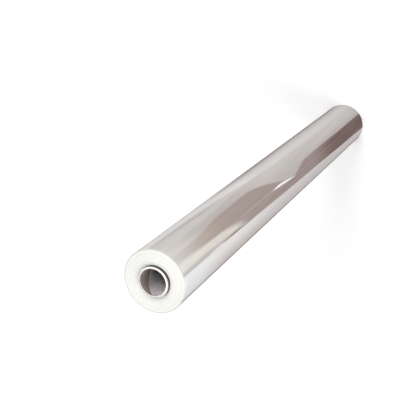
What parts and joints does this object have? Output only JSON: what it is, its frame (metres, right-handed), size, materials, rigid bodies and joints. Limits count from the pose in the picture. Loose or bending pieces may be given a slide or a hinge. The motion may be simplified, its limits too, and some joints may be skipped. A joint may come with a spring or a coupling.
{
  "type": "roll of florist film",
  "caption": "Long web of glossy clear film wound into a solid roll on a board tube, for wrapping flowers and gifts; the tube takes a dispenser rod.",
  "frame": {"origin": "centre of the plain lower end face, on the winding axis; the roll stands on that face", "axes": "+Z along the winding axis, towards the end where the core tube stands out"},
  "size_m": [0.0798, 0.0798, 0.804],
  "materials": {
    "film": "glossy clear film in hundreds of turns: silvery on the side with streaks along the axis, milky white on the end faces",
    "core_board": "grey-brown spiral-wound board with a paler cut rim"
  },
  "bodies": {
    "root": {"film_roll": "film", "core_tube": "core_board"}
  },
  "joints": []
}
